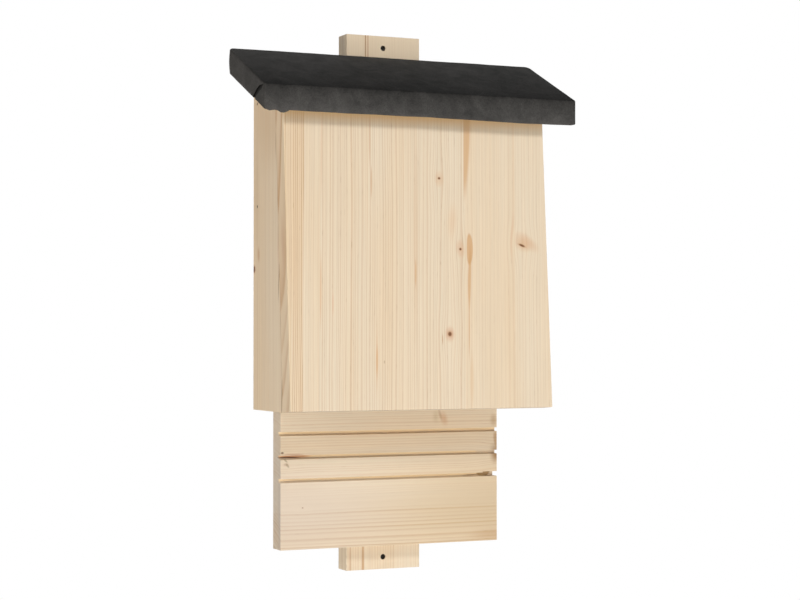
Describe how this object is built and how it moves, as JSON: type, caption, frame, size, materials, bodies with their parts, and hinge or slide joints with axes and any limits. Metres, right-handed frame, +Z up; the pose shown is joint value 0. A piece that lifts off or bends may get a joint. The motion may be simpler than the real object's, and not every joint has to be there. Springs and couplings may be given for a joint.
{
  "type": "bat box",
  "caption": "Wall-hung wooden bat box with an open-bottomed chamber, a grooved landing board and a felted lean-to roof on a mounting batten.",
  "frame": {"origin": "centre of the mounting batten's back face, which lies on the wall", "axes": "+Z up along the batten, +Y into the wall, +X to the right as seen from the front"},
  "size_m": [0.288, 0.1073, 0.47],
  "materials": {
    "spruce": "planed bare spruce, satin",
    "spruce_batten": "planed bare spruce, satin",
    "bitumen_felt": "black sanded bitumen felt, matt",
    "zinced_steel": "bright zinc plate, satin",
    "beech": "turned beech, matt"
  },
  "bodies": {
    "root": {"mounting_batten": "spruce_batten", "back_plank_lower": "spruce", "back_plank_middle": "spruce", "back_plank_upper": "spruce", "side_left": "spruce", "side_right": "spruce", "front_panel": "spruce", "roof_board": "spruce", "roof_felt": "bitumen_felt", "batten_screw_1": "zinced_steel", "batten_screw_2": "zinced_steel", "batten_screw_3": "zinced_steel", "batten_screw_4": "zinced_steel", "batten_screw_5": "zinced_steel", "batten_screw_6": "zinced_steel", "side_brad_1": "zinced_steel", "side_brad_2": "zinced_steel", "side_brad_3": "zinced_steel", "side_brad_4": "zinced_steel", "front_dowel_1": "beech", "front_dowel_2": "beech", "front_dowel_3": "beech", "front_dowel_4": "beech", "front_dowel_5": "beech", "front_dowel_6": "beech", "roof_nail_1": "zinced_steel", "roof_nail_2": "zinced_steel", "roof_nail_3": "zinced_steel", "roof_nail_4": "zinced_steel", "roof_nail_5": "zinced_steel", "roof_nail_6": "zinced_steel", "felt_staple_1": "zinced_steel", "felt_staple_2": "zinced_steel", "felt_staple_3": "zinced_steel", "felt_staple_4": "zinced_steel", "felt_staple_5": "zinced_steel", "felt_staple_6": "zinced_steel", "felt_staple_7": "zinced_steel", "felt_staple_8": "zinced_steel", "felt_staple_9": "zinced_steel", "felt_staple_10": "zinced_steel"}
  },
  "joints": []
}
